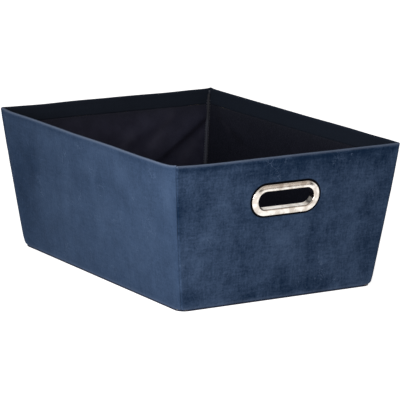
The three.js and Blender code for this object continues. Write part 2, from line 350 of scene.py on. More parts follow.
def wall_grid(side, columns, profile):
    """Points of one wall. The profile's rows are (way up the slope, depth)."""
    along, out = wall_axes(side)
    up, depth = profile[:, 0], profile[:, 1]
    z = up * math.cos(LEAN) + depth * math.sin(LEAN)
    level_depth = depth / math.cos(LEAN)
    grid = np.zeros((len(profile), len(columns), 3))
    lateral = np.zeros(grid.shape[:2])
    for j, (share, turn) in enumerate(columns):
        u, o = panel_point(side, share, turn, z, level_depth)
        lateral[:, j] = u
        grid[:, j] = u[:, None] * along + np.ravel(o + 0 * z)[:, None] * out
        grid[:, j, 2] = z
    return grid, lateral


def seam_shift(side, columns):
    """The shift of a wall's last columns, which leaves the seam's gap."""
    ends = np.array([math.copysign(1, s) if t == 0.5 else 0 for s, t in columns])
    return (ends[None, :, None] * wall_axes(side)[0]) * SEAM_GAP


def cover_profile():
    """The velvet's outer face: round the foot, up the wall, over the rim and down inside."""
    cos, sin = math.cos(LEAN), math.sin(LEAN)
    rows = []
    for angle in np.linspace(0, math.pi / 2, 6):
        turned = FOOT_ROLL * (1 - math.cos(angle))
        rows.append((FOOT_EDGE + turned, FOOT_ROLL * (1 - math.sin(angle))))
    rim_middle = (HEIGHT - RIM_ROLL - RIM_ROLL * sin) / cos
    for up in np.linspace(FOOT_EDGE + FOOT_ROLL, rim_middle, 72)[1:]:
        rows.append((up, 0.0))
    for angle in np.linspace(0, math.pi, 13)[1:]:
        rows.append((rim_middle + RIM_ROLL * math.sin(angle), RIM_ROLL * (1 - math.cos(angle))))
    facing_foot = (FACING_FOOT - FACING_IN * sin) / cos
    for up in np.linspace(rim_middle, facing_foot, 12)[1:]:
        rows.append((up, FACING_IN))
    return np.array(rows)


def oblong_distance(x, y):
    """Distance outside the hand hole's outline, in the front wall's frame."""
    dx = np.maximum(np.abs(x - HANDLE_SHIFT) - OPENING_STRAIGHT / 2, 0)
    dy = np.abs(y - HANDLE_UP)
    return np.hypot(dx, dy) - OPENING_RADIUS


# ---- Shader helpers ----

class Nodes:
    """A node tree, with short calls for the nodes used here."""

    def __init__(self, tree, place):
        self.tree = tree
        self.place = self.node("TexCoord", place)

    def feed(self, socket, value):
        if isinstance(value, bpy.types.NodeSocket):
            self.tree.links.new(value, socket)
        else:
            socket.default_value = value

    def node(self, kind, output, inputs=None, **settings):
        """Adds a node, feeds its inputs and gives back one of its outputs."""
        node = self.tree.nodes.new("ShaderNode" + kind)
        for key, value in settings.items():
            setattr(node, key, value)
        for key, value in (inputs or {}).items():
            self.feed(node.inputs[key], value)
        return node.outputs[output]

    def axis(self, name):
        return self.node("SeparateXYZ", name, {"Vector": self.place})

    def noise(self, scale, detail=2.0, roughness=0.5, distortion=0.0, place=None):
        return self.node("TexNoise", "Fac", {
            "Vector": place or self.place, "Scale": scale, "Detail": detail, "Roughness": roughness,
            "Distortion": distortion})

    def streaks(self, scales, detail, roughness):
        """Noise with its own scale along each axis."""
        place = self.node("Mapping", "Vector", {"Vector": self.place, "Scale": scales})
        return self.noise(1.0, detail, roughness, place=place)

    def cells(self, scale):
        return self.node("TexVoronoi", "Distance", {"Vector": self.place, "Scale": scale})

    def spread(self, value, low, high, to_low=0.0, to_high=1.0, curve="SMOOTHSTEP"):
        return self.node("MapRange", "Result", {
            "Value": value, "From Min": low, "From Max": high, "To Min": to_low, "To Max": to_high,
        }, interpolation_type=curve)

    def math(self, operation, *values):
        return self.node("Math", 0, dict(enumerate(values)), operation=operation)

    def plus(self, a, b):
        return self.math("ADD", a, b)

    def minus(self, a, b):
        return self.math("SUBTRACT", a, b)

    def times(self, a, b):
        return self.math("MULTIPLY", a, b)

    def mix(self, share, a, b):
        a, b = (c if isinstance(c, bpy.types.NodeSocket) else (*c, 1) for c in (a, b))
        return self.node("Mix", 2, {"Factor": share, 6: a, 7: b}, data_type="RGBA")

    def attribute(self, name):
        return self.node("Attribute", "Fac", attribute_name=name)


class Shader(Nodes):
    """A material with one principled surface."""

    def __init__(self, name, color, **settings):
        self.material = bpy.data.materials.new(name)
        self.material.use_nodes = True
        super().__init__(self.material.node_tree, "Object")
        self.surface = self.tree.nodes["Principled BSDF"].inputs
        self.surface["Base Color"].default_value = (*color, 1)
        for key, value in settings.items():
            self.surface[key.replace("_", " ")].default_value = value

    def color(self, value):
        self.feed(self.surface["Base Color"], value)

    def rough(self, value):
        self.feed(self.surface["Roughness"], value)

    def bump(self, height, distance, strength):
        self.feed(self.surface["Normal"], self.node(
            "Bump", "Normal", {"Distance": distance, "Strength": strength, "Height": height}))


def ring_distance(s):
    """Shader maths: how far a point of the front wall lies outside the grommet's flange."""
    off_middle = s.math("ABSOLUTE", s.minus(s.axis("X"), HANDLE_SHIFT))
    dx = s.math("MAXIMUM", s.minus(off_middle, OPENING_STRAIGHT / 2), 0.0)
    dy = s.minus(s.times(s.axis("Z"), 1 / math.cos(LEAN)), HANDLE_UP)
    distance = s.math("SQRT", s.plus(s.times(dx, dx), s.times(dy, dy)))
    return s.minus(distance, OPENING_RADIUS + FLANGE_WIDTH)


def velvet_material():
    """Short-pile navy velvet: fine grain, brushed streaks, mottling and scuffs, with a painted highlight
    along the rim's fold and patches of painted shade and highlight. Inside the rim it is painted darker, as
    shade."""
    s = Shader(
        "navy_velvet", (0.02, 0.033, 0.06), Sheen_Weight=0.05, Sheen_Roughness=0.35,
        Sheen_Tint=(0.5, 0.7, 1.0, 1.0), Specular_IOR_Level=0.03,
    )
    clouds = s.noise(48, 5.0, 0.62)
    patches = s.noise(15, 2.0, 0.5, distortion=0.5)
    upright = s.streaks((34, 34, 5), 2.0, 0.5)
    level_lines = s.streaks((85, 85, 420), 3.0, 0.6)
    upright_lines = s.streaks((400, 400, 75), 3.0, 0.6)
    grain = s.noise(480, 4.0, 0.7)
    shade = s.times(s.minus(clouds, 0.5), 1.05)
    for part, weight in ((patches, 0.6), (upright, 0.6), (level_lines, 0.65), (upright_lines, 0.65),
                         (grain, 1.1)):
        shade = s.plus(shade, s.times(s.minus(part, 0.5), weight))
    shade = s.times(shade, s.attribute("crush"))
    # Painted shade and highlights, with the pile's brushing and a painted shadow line under the rim.
    shade = s.plus(shade, s.times(s.attribute("brush_and_shade"), 0.3))
    base = s.mix(s.spread(shade, -0.85, 0.85), (0.0028, 0.0105, 0.0280), (0.0370, 0.0600, 0.1080))
    scuff_line = s.math("ABSOLUTE", s.minus(s.noise(95, 2.0, 0.5, distortion=1.2), 0.5))
    scuffs = s.times(s.spread(scuff_line, 0.004, 0.016, 1.0, 0.0),
                    s.spread(s.noise(31, 1.0, 0.5), 0.60, 0.72, 0.0, 0.55))
    base = s.mix(scuffs, base, (0.0600, 0.0880, 0.1450))
    specks = s.spread(s.cells(310), 0.10, 0.16, 0.5, 0.0)
    base = s.mix(s.times(specks, s.spread(grain, 0.5, 0.62)), base, (0.06, 0.09, 0.15))
    # A highlight is painted along the rim's crest, with a pale line just above the foot.
    base = s.mix(s.times(s.attribute("fold"), 0.9), base, (0.1150, 0.1450, 0.2100))
    # Shade is painted on the velvet turned in over the rim.
    base = s.mix(s.times(s.attribute("inside_rim_shade"), 0.92), base, (0.0110, 0.0138, 0.0204))
    # A shadow is painted in a line round the grommet's flange.
    outline = s.spread(ring_distance(s), 1.5 * MM, 2.9 * MM, 1, 0)
    pressed = s.times(s.attribute("flange_shadow_zone"), outline)
    base = s.mix(pressed, base, (0.0004, 0.0005, 0.0009))
    s.color(base)
    s.rough(s.spread(clouds, 0.3, 0.7, 0.78, 0.95))
    relief = s.plus(s.times(grain, 0.7), s.times(level_lines, 0.4))
    relief = s.plus(relief, s.times(upright_lines, 0.4))
    s.bump(relief, 0.4 * MM, 0.7)
    return s.material


def lining_material():
    """Black non-woven cloth: pressed fibres with small bonded points."""
    s = Shader("black_lining", (0.010, 0.010, 0.014), Specular_IOR_Level=0.12, Sheen_Weight=0.02,
               Sheen_Roughness=0.5)
    fibres = s.streaks((900, 900, 260), 4.0, 0.65)
    clouds = s.noise(45, 3.0, 0.55)
    points = s.cells(620)
    base = s.mix(s.spread(clouds, 0.3, 0.7), (0.0145, 0.0152, 0.0300), (0.0228, 0.0238, 0.0440))
    base = s.mix(s.attribute("shaded"), base, (0.0030, 0.0040, 0.0088))
    # Shade is painted on the liner near the facing, under the rim.
    base = s.mix(s.times(s.attribute("shade_near_facing"), 0.8), base, (0.0098, 0.0116, 0.0186))
    # Highlights are painted along the liners' folds.
    base = s.mix(s.attribute("pale"), base, (0.0440, 0.0440, 0.0680))
    base = s.mix(s.spread(fibres, 0.45, 0.75, 0.0, 0.5), base, (0.0230, 0.0220, 0.0380))
    s.color(base)
    s.rough(s.spread(points, 0.1, 0.6, 0.45, 0.75))
    relief = s.plus(s.times(fibres, 0.5), s.times(points, 0.6))
    s.bump(relief, 0.25 * MM, 0.5)
    return s.material


def tape_material():
    """Dark ribbed tape, with painted shade near the rim."""
    s = Shader("seam_tape", (0.020, 0.021, 0.028), Roughness=0.7, Specular_IOR_Level=0.4)
    ribs = s.node("TexWave", "Fac", {"Vector": s.place, "Scale": 260, "Distortion": 0.6},
                  bands_direction="Z")
    threads = s.noise(1400, 2.0, 0.5)
    base = s.mix(ribs, (0.017, 0.0195, 0.031), (0.030, 0.034, 0.052))
    base = s.mix(s.spread(threads, 0.4, 0.7, 0.0, 0.4), base, (0.034, 0.038, 0.054))
    # Shade is painted on the tape towards the rim.
    unshaded_share = s.spread(s.axis("Z"), 118 * MM, 136 * MM, 1.0, 0.45)
    s.color(s.mix(unshaded_share, (0.0, 0.0, 0.0), base))
    s.rough(s.spread(threads, 0.3, 0.7, 0.6, 0.8))
    s.bump(s.plus(ribs, s.times(threads, 0.4)), 0.2 * MM, 0.6)
    return s.material


def thread_material():
    """Dark twisted sewing thread."""
    s = Shader("dark_thread", (0.05, 0.055, 0.075), Roughness=0.6, Sheen_Weight=0.2)
    twist = s.streaks((2600, 2600, 2600), 1.0, 0.5)
    s.color(s.mix(s.spread(twist, 0.35, 0.65), (0.05, 0.055, 0.075), (0.12, 0.13, 0.17)))
    s.bump(twist, 0.1 * MM, 0.5)
    return s.material


def chipboard_material():
    """Grey-brown recycled board with pale and dark flecks."""
    s = Shader("chipboard", (0.30, 0.25, 0.18), Specular_IOR_Level=0.3)
    clouds = s.noise(40, 4.0, 0.6)
    flecks = s.noise(900, 3.0, 0.7)
    base = s.mix(s.spread(clouds, 0.3, 0.7), (0.25, 0.205, 0.145), (0.34, 0.29, 0.21))
    base = s.mix(s.spread(flecks, 0.55, 0.75, 0.0, 0.7), base, (0.50, 0.45, 0.35))
    s.color(s.mix(s.spread(flecks, 0.25, 0.4, 0.5, 0.0), base, (0.13, 0.10, 0.07)))
    s.rough(s.spread(flecks, 0.3, 0.7, 0.8, 0.95))
    s.bump(flecks, 0.2 * MM, 0.5)
    return s.material


def nickel_material():
    """Polished nickel plate with faint ripples and handling marks."""
    s = Shader("polished_nickel", (0.80, 0.76, 0.69), Metallic=1.0)
    ripples = s.noise(140, 2.0, 0.5)
    marks = s.streaks((500, 900, 900), 4.0, 0.7)
    s.color(s.mix(s.spread(ripples, 0.35, 0.65), (0.55, 0.495, 0.44), (0.82, 0.785, 0.735)))
    s.rough(s.spread(marks, 0.5, 0.8, 0.13, 0.30))
    s.bump(ripples, 0.25 * MM, 0.35)
    return s.material


velvet = velvet_material()
lining = lining_material()
tape = tape_material()
dark_thread = thread_material()
chipboard = chipboard_material()
nickel = nickel_material()


# ---- Velvet covers ----

def rim_lift(side, lateral):
    """How far the rim rises above level, along one wall."""
    place = np.stack([lateral, 0 * lateral, 0 * lateral], axis=-1)
    wave = field(place, 55 * MM, list(TURNS).index(side) + 1) * RIM_WAVE
    for way, (rise, fade) in RIM_PEAKS[side].items():
        distance = half_width(side, TOP_X, TOP_Y) - way * lateral
        wave = wave + rise * MM * np.exp(-np.maximum(distance, 0) / (fade * MM))
    return wave


def foot_lift(side, lateral):
    """How far the foot's edge is pulled up near the corners of one wall."""
    total = 0 * lateral
    for way, lift in FOOT_LIFTS[side].items():
        distance = np.maximum(half_width(side, FOOT_X, FOOT_Y) - way * lateral, 0)
        total = total + lift * MM * np.exp(-(distance / FOOT_LIFT_REACH) ** 1.5)
    return total


def foot_rounding(side, z, lateral):
    """How far the foot's corners are drawn in towards the bin's middle, as level vectors."""
    along, out = wall_axes(side)
    half = np.max(np.abs(lateral), axis=1, keepdims=True)
    near = np.exp(-((half - np.abs(lateral)) / FOOT_CORNER_REACH) ** 2)
    low = np.clip(1 - z / FOOT_CORNER_ROUND, 0, 1)
    inwards = FOOT_CORNER_ROUND * (1 - np.sqrt(1 - low * low)) * near
    return -inwards[..., None] * (np.sign(lateral)[..., None] * along[:2] + out[:2]) / math.sqrt(2)


def brushing_and_shade(side, lateral, z):
    """How much paler each point of a wall is, from brushed pile and from painted shade and highlights."""
    total = 0 * lateral
    for place, height, reach, tall, strength in BRUSHED_AND_SHADED.get(side, []):
        away = ((lateral / MM - place) / reach) ** 2 + ((z / MM - height) / tall) ** 2
        total = total + strength * np.exp(-away)
    return total


def front_marks(lateral, up):
    """Relief of the front's velvet: flattened round the grommet, with a faint level crease."""
    distance = oblong_distance(lateral, up)
    crease_at = HEIGHT / math.cos(LEAN) - CREASE_BELOW_RIM + 2 * MM * np.sin(lateral / (40 * MM))
    reach = smooth((distance - 8 * MM) / (20 * MM)) * smooth((95 * MM - np.abs(lateral)) / (45 * MM))
    crease = -0.22 * MM * np.exp(-((up - crease_at) / (2.2 * MM)) ** 2) * reach
    puff = 0.35 * MM * np.exp(-((distance - FLANGE_WIDTH - 4.5 * MM) / (3.5 * MM)) ** 2)
    pressed = -0.45 * MM * np.exp(-((distance - FLANGE_WIDTH) / (1.3 * MM)) ** 2)
    return crease + puff + pressed


def cover(side):
    columns = panel_columns(64 if side in LONG else 84, 6)
    profile = cover_profile()
    grid, lateral = wall_grid(side, columns, profile)
    height_share = smooth((grid[..., 2] - (HEIGHT - RIM_PEAK_DEPTH)) / RIM_PEAK_DEPTH)
    grid[..., 2] += rim_lift(side, lateral) * height_share
    foot_share = 1 - smooth(grid[..., 2] / FOOT_LIFT_HEIGHT)
    grid[..., 2] += foot_lift(side, lateral) * foot_share
    grid[..., :2] += foot_rounding(side, grid[..., 2], lateral)

    up = profile[:, :1] + 0 * lateral
    on_face = (profile[:, 1:] < 0.05 * MM) + 0 * lateral
    edge = smooth((up - 2 * MM) / (10 * MM))
    seed = list(TURNS).index(side)
    relief = 0.30 * MM * field(grid, 48 * MM, seed + 1) + 0.10 * MM * field(grid, 14 * MM, seed + 7)
    if side == "front":
        calm = smooth((oblong_distance(lateral, up) - FLANGE_WIDTH) / (9 * MM))
        relief = (relief - 0.1 * MM) * calm - 0.1 * MM + front_marks(lateral, up)
        flat = smooth((oblong_distance(lateral, up) - FLANGE_WIDTH + 1.5 * MM) / (1.5 * MM))
        relief = lerp(-0.05 * MM, relief, flat)
    relief = relief * on_face * edge

    normals = grid_normals(grid)
    turn = np.array([t for _, t in columns])
    groove_reach = (0.5 - turn) * 2 * CORNER_RADIUS
    groove = np.where(turn > 0, SEAM_GROOVE * np.exp(-(groove_reach / SEAM_GROOVE_WIDTH) ** 2), 0)
    relief = relief - groove[None, :]
    grid = grid + normals * relief[..., None]
    grid = grid - seam_shift(side, columns)

    normals = grid_normals(grid)
    inner = grid - normals * COVER
    inner[..., 2] = np.maximum(inner[..., 2], FOOT_EDGE + 0.05 * MM)
    grid[..., 2] = np.maximum(grid[..., 2], FOOT_EDGE)

    over_rim = profile[:, 0] > profile[:, 0].max() - RIM_ROLL
    # A highlight is painted along the rim's crest.
    crest = np.exp(-((profile[:, 1] - CREST_DEPTH) / CREST_WIDTH) ** 2) * over_rim
    foot_line = 0.3 * np.exp(-((up - 3.2 * MM) / (1.0 * MM)) ** 2) * on_face
    # Where shade is painted on the velvet inside the rim.
    inside_rim_shade = smooth((profile[:, 1:] - 0.6 * FACING_IN) / (0.3 * FACING_IN)) + 0 * lateral
    values = {
        # painted highlight on the rim's crest, and the pale line above the foot
        "fold": np.clip(crest[:, None] + foot_line, 0, 1),
        "inside_rim_shade": inside_rim_shade,
        # painted shade and highlights with the brushing, less the painted shadow under the rim
        "brush_and_shade": brushing_and_shade(side, lateral, grid[..., 2]) - RIM_SHADE[side] * rim_shadow(up),
        "crush": CRUSH[side] + 0 * lateral,
        # where the painted shadow round the grommet's flange may fall
        "flange_shadow_zone": (oblong_distance(lateral, up) < 4 * FLANGE_WIDTH) * on_face * (side == "front"),
    }
    return shell(f"{side}_velvet", grid, inner, velvet, values)


def rim_shadow(up):
    """Where a shadow is painted, in a line just under the rim."""
    rim = HEIGHT / math.cos(LEAN)
    return np.exp(-((up - rim + 5.0 * MM) / (2.6 * MM)) ** 2)


def hand_hole_cutter():
    """A prism through the front wall, a little wider than the grommet's barrel."""
    ring = oblong_outline(HOLE_REACH)
    count = len(ring)
    points = [front_point(x, y, rise) for rise in (12 * MM, -18 * MM) for x, y in ring]
    faces = [[i, (i + 1) % count, count + (i + 1) % count, count + i] for i in range(count)]
    faces += [list(range(count))[::-1], [count + i for i in range(count)]]
    return make_object("hand_hole_cutter", points, faces, nickel)


def cut(piece, cutter):
    modifier = piece.modifiers.new("hand_hole", "BOOLEAN")
    modifier.operation = "DIFFERENCE"
    modifier.solver = "EXACT"
    modifier.object = cutter
    graph = bpy.context.evaluated_depsgraph_get()
    mesh = bpy.data.meshes.new_from_object(piece.evaluated_get(graph))
    piece.modifiers.clear()
    piece.data = mesh
    mesh.polygons.foreach_set("use_smooth", [True] * len(mesh.polygons))


# ---- The front wall's frame: x along it, y up its slope, and rise out of it ----

def front_point(x, y, rise):
    cos, sin = math.cos(LEAN), math.sin(LEAN)
    return np.array([x, -(FOOT_Y + y * sin + rise * cos), y * cos - rise * sin])


def oblong_outline(reach, arc_steps=28, straight_steps=12):
    """The hand hole's outline, widened by reach, anticlockwise seen from outside."""
    radius = OPENING_RADIUS + reach
    half = OPENING_STRAIGHT / 2
    points = []
    for side in (1, -1):
        for angle in np.linspace(-math.pi / 2, math.pi / 2, arc_steps + 1):
            x = side * (half + radius * math.cos(angle))
            points.append((HANDLE_SHIFT + x, HANDLE_UP + side * radius * math.sin(angle)))
        for share in np.linspace(0, 1, straight_steps + 1)[1:-1]:
            x = side * lerp(half, -half, share)
            points.append((HANDLE_SHIFT + x, HANDLE_UP + side * radius))
    return points


def arc(reach, rise, across, up, start, end, steps):
    """Points of an elliptic arc of a ring's section."""
    angles = np.radians(np.linspace(start, end, steps))
    return [(reach + across * math.cos(a), rise + up * math.sin(a)) for a in angles]


def oblong_ring(name, section):
    """A nickel ring round the hand hole whose closed section is (reach, rise) points in mm."""
    rings = [[front_point(x, y, rise * MM) for x, y in oblong_outline(reach * MM)]
             for reach, rise in section]
    grid = np.array(rings)
    rows, columns = grid.shape[:2]
    faces = [[q % (rows * columns) for q in quad] for quad in grid_faces(rows + 1, columns, around=True)]
    return make_object(name, grid.reshape(-1, 3), faces, nickel)


def grommet():
    """A pressed ring: a bead round the opening, sloping out to a rolled edge, and a barrel."""
    section = arc(1.8, 0.9, 1.8, 1.55, 180, 75, 12)
    section += [(2.9, 2.27), (3.6, 2.07), (4.5, 1.79), (5.4, 1.49), (6.2, 1.19)]
    section += arc(6.35, 0.42, 1.05, 0.74, 62, -20, 8)
    section += [(7.0, 0.3), (5.0, 0.3), (0.9, 0.3), (0.9, -2.0), (0.9, -6.0), (1.0, -6.2)]
    section += arc(2.5, -6.6, 0.4, 0.4, 90, -90, 7)
    section += arc(0.55, -6.45, 0.55, 0.55, 270, 180, 6)
    section += [(0.0, -5.0), (0.0, -3.0), (0.0, -1.0), (0.0, 0.4)]
    return oblong_ring("nickel_grommet", section)


def grommet_backplate():
    section = [(1.2, -5.9), (4.0, -5.9), (5.4, -5.85)]
    section += arc(5.9, -5.2, 0.7, 0.65, -75, 0, 5)
    section += [(6.6, -4.75), (1.2, -4.7)]
    return oblong_ring("nickel_backplate", section)


# ---- Liner ----

LINER_COLUMNS = 72
LINER_ROWS = 44
LINER_FRAMES = 26
FULLNESS = 1.022  # the liner is cut this much larger than its wall
LINER_SKEW = {"front": 0.030, "right": -0.034, "back": -0.045, "left": 0.034}
LINER_DARK = {"front": 0.3, "right": 0.85, "back": 0.0, "left": 0.3}
MOST_BILLOW = 6.5 * MM
LINER_CLOTH = {"quality": 6, "mass": 0.12, "tension_stiffness": 18, "compression_stiffness": 18,
               "shear_stiffness": 8, "bending_stiffness": 0.35, "air_damping": 2.5}
LINER_EDGE = 14 * MM  # the trial cloth starts flat within this of its edges
# A liner lies flat against its wall beside the seams, under the facing and above the foot.
FLAT_AT_SEAM = 12 * MM
FLAT_AT_FACING = 9 * MM
FLAT_AT_FOOT = (12 * MM, 34 * MM)


def billow_by_cloth(side, width, height):
    """Lets a slightly oversized cloth, held round its edge, buckle: how far each point
    stands off the wall, on a grid of rows and columns."""
    rows, columns = LINER_ROWS, LINER_COLUMNS
    x = np.linspace(-width / 2, width / 2, columns)
    y = np.linspace(0, height, rows)
    grid = np.zeros((rows, columns, 3))
    grid[..., 0] = x[None, :]
    grid[..., 2] = y[:, None]
    seed = list(TURNS).index(side)
    start = field(grid, 38 * MM, 31 + seed) * 1.2 * MM + 0.9 * MM
    edge_x = smooth((width / 2 - np.abs(grid[..., 0])) / LINER_EDGE)
    edge_y = smooth(grid[..., 2] / LINER_EDGE) * smooth((height - grid[..., 2]) / LINER_EDGE)
    grid[..., 1] = start * edge_x * edge_y
    cloth = make_object(f"{side}_liner_trial", grid.reshape(-1, 3), grid_faces(rows, columns), lining)
    held = cloth.vertex_groups.new(name="held")
    border = [i * columns + j for i in range(rows) for j in range(columns)
              if i in (0, rows - 1) or j in (0, columns - 1)]
    held.add(border, 1.0, "REPLACE")
    cloth.shape_key_add(name="as_held")
    cut_key = cloth.shape_key_add(name="as_cut")
    for vertex, key in zip(cloth.data.vertices, cut_key.data):
        px, py, pz = vertex.co
        key.co = (px * FULLNESS + pz * LINER_SKEW[side], py, pz * FULLNESS)
    modifier = cloth.modifiers.new("cloth", "CLOTH")
    for key, value in {**LINER_CLOTH, "rest_shape_key": cut_key, "vertex_group_mass": "held"}.items():
        setattr(modifier.settings, key, value)
    modifier.collision_settings.use_self_collision = False
    modifier.point_cache.frame_end = LINER_FRAMES + 1
    scene = bpy.context.scene
    for step in range(1, LINER_FRAMES + 1):
        scene.frame_set(step)
    graph = bpy.context.evaluated_depsgraph_get()
    settled = cloth.evaluated_get(graph).data
    off_wall = np.array([v.co.y for v in settled.vertices]).reshape(rows, columns)
    bpy.data.objects.remove(cloth)
    scene.frame_set(1)
    return off_wall


def bilinear(table, row, column):
    rows, columns = table.shape
    row = np.clip(row, 0, rows - 1.001)
    column = np.clip(column, 0, columns - 1.001)
    i, j = row.astype(int), column.astype(int)
    a, b = row - i, column - j
    low = table[i, j] * (1 - b) + table[i, j + 1] * b
    high = table[i + 1, j] * (1 - b) + table[i + 1, j + 1] * b
    return low * (1 - a) + high * a


# The folds that cross two of the liners, in mm along the bin and up: where each starts and
# ends, how high it rises, and how far it slopes above and below its crest.
LINER_FOLDS = {
    "back": [((137, 134), (54, 81), 4.2, 13, 5.5), ((88, 137), (14, 106), 2.4, 10, 9)],
    "right": [((174, 138), (96, 110), 2.4, 9, 6)],
}
# Where highlights are painted on the liners, in mm: the ends of each streak, its reach and its strength.
LINER_HIGHLIGHTS = {
    "back": [((84, 134), (55, 102), 6, 0.42), ((27, 113), (16, 103), 5, 0.3), ((112, 98), (98, 84), 9, 0.4),
             ((126, 111), (121, 104), 4, 0.3)],
    "right": [((158, 127), (143, 121), 4, 0.2)],
}


def painted_highlight_streaks(side, along, z):
    """How strong the painted highlight is at each point of a liner."""
    pale = 0 * z
    for start, end, reach, strength in LINER_HIGHLIGHTS.get(side, []):
        length, past, under = from_line(start, end, along, z)
        gap = np.hypot(past - np.clip(past, 0, length), under)
        pale = np.maximum(pale, strength * np.exp(-(gap / (reach * MM)) ** 2))
    return pale


def folds(side, along, z):
    """The folds' height off the wall: they rise slowly from above and drop steeply below."""
    total = 0 * z
    for start, end, rise, above, below in LINER_FOLDS.get(side, []):
        length, past, under = from_line(start, end, along, z)
        slope = np.exp(-(np.minimum(under, 0) / (above * MM)) ** 2
                       - (np.maximum(under, 0) / (below * MM)) ** 2)
        taper = smooth((past + 6 * MM) / (22 * MM)) * smooth((length + 14 * MM - past) / (34 * MM))
        total = np.maximum(total, rise * MM * slope * taper)
    return total


def from_line(start, end, along, z):
    """A line's length, and how far points lie past its start and beside it. Ends are in mm."""
    start, end = np.array(start) * MM, np.array(end) * MM
    length = np.linalg.norm(end - start)
    way = (end - start) / length
    px, pz = along - start[0], z - start[1]
    return length, px * way[0] + pz * way[1], px * -way[1] + pz * way[0]


def liner(side):
    columns = panel_columns(60, 3)
    cos, sin = math.cos(LEAN), math.sin(LEAN)
    low = (WALL_FOOT - LINER_IN * sin) / cos
    high = (FACING_FOOT - TUCK - LINER_IN * sin) / cos
    ups = np.linspace(low, high, 72)
    profile = np.stack([ups, np.full_like(ups, LINER_IN)], axis=1)
    grid, lateral = wall_grid(side, columns, profile)
    width = 2 * half_width(side, TOP_X, TOP_Y)
    billow = billow_by_cloth
    off_wall = billow(side, width, high - low)
    row = (profile[:, 0] - low) / (high - low) * (LINER_ROWS - 1)
    column = (lateral / width + 0.5) * (LINER_COLUMNS - 1)
    off = bilinear(off_wall, row[:, None] + 0 * lateral, column)
    off = np.clip(MOST_BILLOW * np.tanh(np.maximum(off, 0) / MOST_BILLOW), 0, None)
    half = np.max(np.abs(lateral), axis=1, keepdims=True)
    free_of_seam = smooth((half - np.abs(lateral)) / FLAT_AT_SEAM)
    free_of_facing = smooth((high - profile[:, :1]) / FLAT_AT_FACING)
    free_of_foot = smooth((profile[:, :1] - low - FLAT_AT_FOOT[0]) / FLAT_AT_FOOT[1])
    off = off * free_of_seam * free_of_facing * free_of_foot
    fold = folds(side, along_bin(side, grid), grid[..., 2])
    off = off * np.exp(-fold / (2 * MM)) + fold
    inward = -wall_axes(side)[1]
    grid = grid + off[..., None] * inward
    # Rows run up and columns along, so this grid's normals point at the wall.
    outer_face = grid + grid_normals(grid) * LINER
    shift = seam_shift(side, columns)
    # Where shade is painted on the liner, fading down from the facing.
    shade_near_facing = np.exp(-(high - profile[:, :1]) / FLAT_AT_FACING) + 0 * lateral
    values = {
        "shaded": np.full(lateral.shape, LINER_DARK[side]),
        "shade_near_facing": shade_near_facing,
        # painted highlights along the liners' folds
        "pale": painted_highlight_streaks(side, along_bin(side, grid), grid[..., 2]),
    }
    return shell(f"{side}_lining", outer_face - shift, grid - shift, lining, values)


# ---- Seam tapes and stitches ----

def stitch_points(start, end, normal, radius, sides=6, rings=5):
    """A thread stitch: a bowed, tapered capsule. Returns its points and faces."""
    start, end, normal = (np.asarray(v, float) for v in (start, end, normal))
    way = end - start
    length = np.linalg.norm(way)
    way = way / length
    across = np.cross(way, normal)
    points = []
    for share in np.linspace(0, 1, rings):
        bow = math.sin(math.pi * share)
        middle = start + way * length * share + normal * radius * (bow - 0.35)
        size = radius * (0.35 + 0.65 * math.sqrt(max(bow, 0)))
        for k in range(sides):
            angle = 2 * math.pi * k / sides
            points.append(middle + (across * math.cos(angle) + normal * math.sin(angle)) * size)
    faces = grid_faces(rings, sides, around=True)
    faces.append(list(range(sides))[::-1])
    faces.append([(rings - 1) * sides + k for k in range(sides)])
    return points, faces


def threads(name, stitches):
    """One object of stitches, each (start, end, normal, radius)."""
    points, faces = [], []
    for stitch in stitches:
        new_points, new_faces = stitch_points(*stitch)
        faces += [[len(points) + i for i in face] for face in new_faces]
        points += new_points
    return make_object(name, points, faces, dark_thread)


def add_stitches(piece, stitches):
    """Joins stitches to a piece as its second material."""
    added = threads(piece.name + "_thread", stitches)
    with bpy.context.temp_override(active_object=piece, selected_editable_objects=[piece, added]):
        bpy.ops.object.join()
    return piece


TAPE = 0.55 * MM  # thickness of the folded tape
CORNER_TAPE_DEPTH = 5 * MM
CORNER_TAPE_WIDTH = 3.4 * MM
CORNER_TAPE_TOP = HEIGHT - 6 * MM
CORNER_TAPE_START = 0.4 * MM  # between the corner and the tape's open edge
CORNER_TAPE_BULGE = 0.25  # how much wider the tape is half way up
CORNER_TAPE_NARROWING = 0.28  # how much less deep it is near the rim
THREAD_RADIUS = 0.28 * MM
CORNER_STITCH, CORNER_STITCH_PITCH = 2.1 * MM, 3.2 * MM
FOOT_STITCH, FOOT_STITCH_PITCH = 2.6 * MM, 4.0 * MM
LOOP_CORNERS = [(1, 1), (-1, 1), (-1, -1), (1, -1)]


def folded_section(depth, width):
    """The outer and inner lines of a folded tape, as (reach, side) from its open edge."""
    lines = []
    turn = depth - width / 2
    for radius in (width / 2, width / 2 - TAPE):
        straight = [share * turn for share in (0, 0.25, 0.5, 0.75)]
        line = [(reach, -radius) for reach in straight]
        for angle in np.linspace(-math.pi / 2, math.pi / 2, 9):
            line.append((turn + radius * math.cos(angle), radius * math.sin(angle)))
        lines.append(line + [(reach, radius) for reach in straight[::-1]])
    return lines


